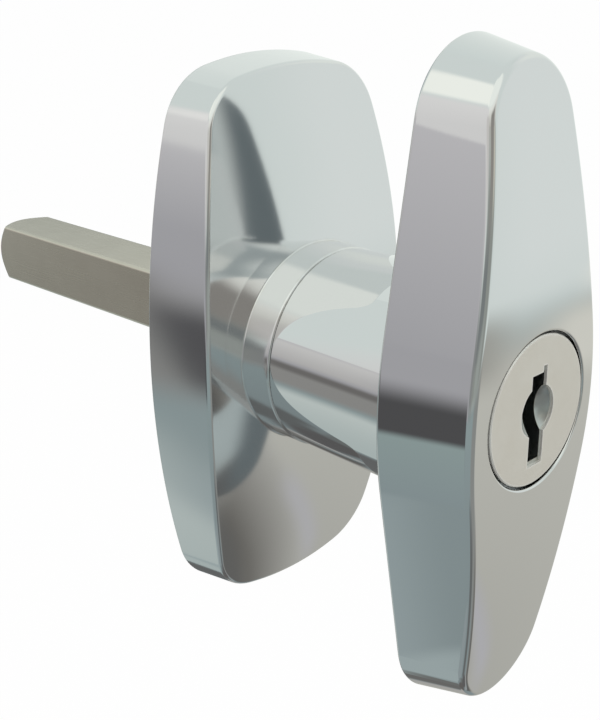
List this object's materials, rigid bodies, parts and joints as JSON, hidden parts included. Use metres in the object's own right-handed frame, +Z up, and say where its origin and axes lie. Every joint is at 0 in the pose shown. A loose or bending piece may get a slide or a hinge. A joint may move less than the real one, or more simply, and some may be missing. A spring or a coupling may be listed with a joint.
{
  "type": "locking t-handle",
  "caption": "Locking T-handle: crowned bar on a round shank, crowned escutcheon, key lock in the bar and a square spindle that turns the latch.",
  "frame": {"origin": "on the turning axis, in the plane where the escutcheon's back meets the door, midway between the two fixing holes", "axes": "+Z up along the bar, +Y along the spindle into the door, -Y towards the user"},
  "size_m": [0.0354, 0.0924, 0.0752],
  "materials": {
    "chrome_casting": "polished chrome on die-cast zinc",
    "spindle_steel": "satin zinc-plated steel",
    "gasket_rubber": "matt black",
    "seal_rubber": "black nitrile",
    "washer_nylon": "natural nylon",
    "pin_steel": "ground steel",
    "zinc_steel": "bright zinc plate",
    "spring_steel": "dark oiled spring steel",
    "zinc_casting": "raw die-cast zinc",
    "plug_zinc": "bright plated zinc",
    "face_steel": "satin stainless steel",
    "wafer_brass": "stamped brass"
  },
  "bodies": {
    "escutcheon": {"escutcheon": "chrome_casting", "door_gasket": "gasket_rubber", "thrust_washer": "washer_nylon"},
    "handle": {"t_handle": "chrome_casting", "square_spindle": "spindle_steel", "spindle_pin": "pin_steel", "shank_seal": "seal_rubber", "stop_washer": "zinc_steel", "disc_spring": "spring_steel", "circlip": "spring_steel", "lock_housing": "zinc_casting", "housing_pin": "pin_steel"},
    "plug": {"lock_plug": "plug_zinc", "plug_clip": "spring_steel", "face_cap": "face_steel", "lock_cam": "zinc_steel", "cam_pin": "pin_steel", "wafer_springs": "spring_steel"},
    "locking_bolt": {"lock_bolt": "zinc_steel"},
    "wafer_1": {"wafer_1": "wafer_brass"},
    "wafer_2": {"wafer_2": "wafer_brass"},
    "wafer_3": {"wafer_3": "wafer_brass"},
    "wafer_4": {"wafer_4": "wafer_brass"},
    "wafer_5": {"wafer_5": "wafer_brass"},
    "wafer_6": {"wafer_6": "wafer_brass"}
  },
  "joints": [
    {"name": "handle_turn", "type": "hinge", "parent": "escutcheon", "child": "handle", "pos_m": [0, 0, 0], "axis": [0, 1, 0], "range_deg": [-90, 90]},
    {"name": "key_turn", "type": "hinge", "parent": "handle", "child": "plug", "pos_m": [0, -0.03, 0], "axis": [0, 1, 0], "range_deg": [0, 90]},
    {"name": "bolt_slide", "type": "slide", "parent": "handle", "child": "locking_bolt", "axis": [1, 0, 0], "range_m": [0, 0.0022]},
    {"name": "wafer_1_slide", "type": "slide", "parent": "plug", "child": "wafer_1", "axis": [0, 0, 1], "range_m": [0, 0.0005], "deforming": ["wafer_springs"]},
    {"name": "wafer_2_slide", "type": "slide", "parent": "plug", "child": "wafer_2", "axis": [0, 0, 1], "range_m": [0, 0.0005]},
    {"name": "wafer_3_slide", "type": "slide", "parent": "plug", "child": "wafer_3", "axis": [0, 0, 1], "range_m": [0, 0.0005]},
    {"name": "wafer_4_slide", "type": "slide", "parent": "plug", "child": "wafer_4", "axis": [0, 0, 1], "range_m": [0, 0.0005]},
    {"name": "wafer_5_slide", "type": "slide", "parent": "plug", "child": "wafer_5", "axis": [0, 0, 1], "range_m": [0, 0.0005]},
    {"name": "wafer_6_slide", "type": "slide", "parent": "plug", "child": "wafer_6", "axis": [0, 0, 1], "range_m": [0, 0.0005]}
  ],
  "couplings": [
    {"joint": "bolt_slide", "follows": "key_turn", "m_per_rad": 0.0014006},
    {"joint": "wafer_2_slide", "follows": "wafer_1_slide", "ratio": 1},
    {"joint": "wafer_3_slide", "follows": "wafer_1_slide", "ratio": 1},
    {"joint": "wafer_4_slide", "follows": "wafer_1_slide", "ratio": 1},
    {"joint": "wafer_5_slide", "follows": "wafer_1_slide", "ratio": 1},
    {"joint": "wafer_6_slide", "follows": "wafer_1_slide", "ratio": 1}
  ]
}
